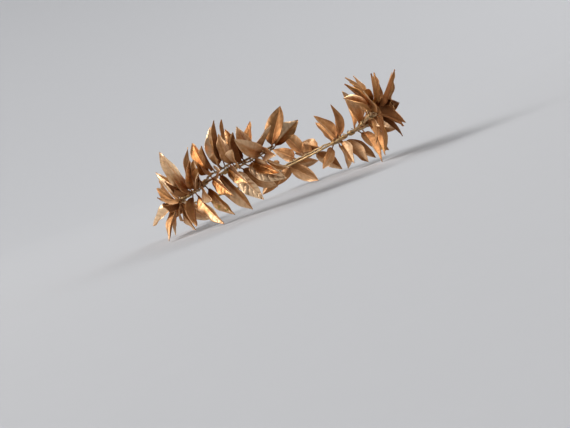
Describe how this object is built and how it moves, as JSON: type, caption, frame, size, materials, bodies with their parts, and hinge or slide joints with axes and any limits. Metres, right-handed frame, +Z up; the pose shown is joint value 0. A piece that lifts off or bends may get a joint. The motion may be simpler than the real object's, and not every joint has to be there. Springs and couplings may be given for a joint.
{
  "type": "laurel wreath crown",
  "caption": "Wreath crown of copper-gold painted laurel leaves in sprigs tied along both sides of a bare wire band that is open at the forehead.",
  "frame": {"origin": "centre of the crown's footprint on the surface that it rests on", "axes": "+Z up from the surface, -Y towards the wearer's forehead, where the crown is open, and -X towards the wearer's right"},
  "size_m": [0.2118, 0.2414, 0.0795],
  "materials": {
    "painted_leaf": "copper-gold metallic paint brushed over thin stiff leaves, with darker brown hollows and a few bare olive spots",
    "band_wire": "khaki-brown painted wire, slightly rough",
    "binding_wire": "fine dulled gold-brown wire wound in close turns"
  },
  "bodies": {
    "root": {"band_wire": "band_wire", "right_sprig_1": "painted_leaf", "right_sprig_2": "painted_leaf", "right_sprig_3": "painted_leaf", "right_sprig_4": "painted_leaf", "right_sprig_5": "painted_leaf", "left_sprig_1": "painted_leaf", "left_sprig_2": "painted_leaf", "left_sprig_3": "painted_leaf", "left_sprig_4": "painted_leaf", "left_sprig_5": "painted_leaf", "right_binding_1": "binding_wire", "right_binding_2": "binding_wire", "right_binding_3": "binding_wire", "right_binding_4": "binding_wire", "right_binding_5": "binding_wire", "left_binding_1": "binding_wire", "left_binding_2": "binding_wire", "left_binding_3": "binding_wire", "left_binding_4": "binding_wire", "left_binding_5": "binding_wire"}
  },
  "joints": []
}
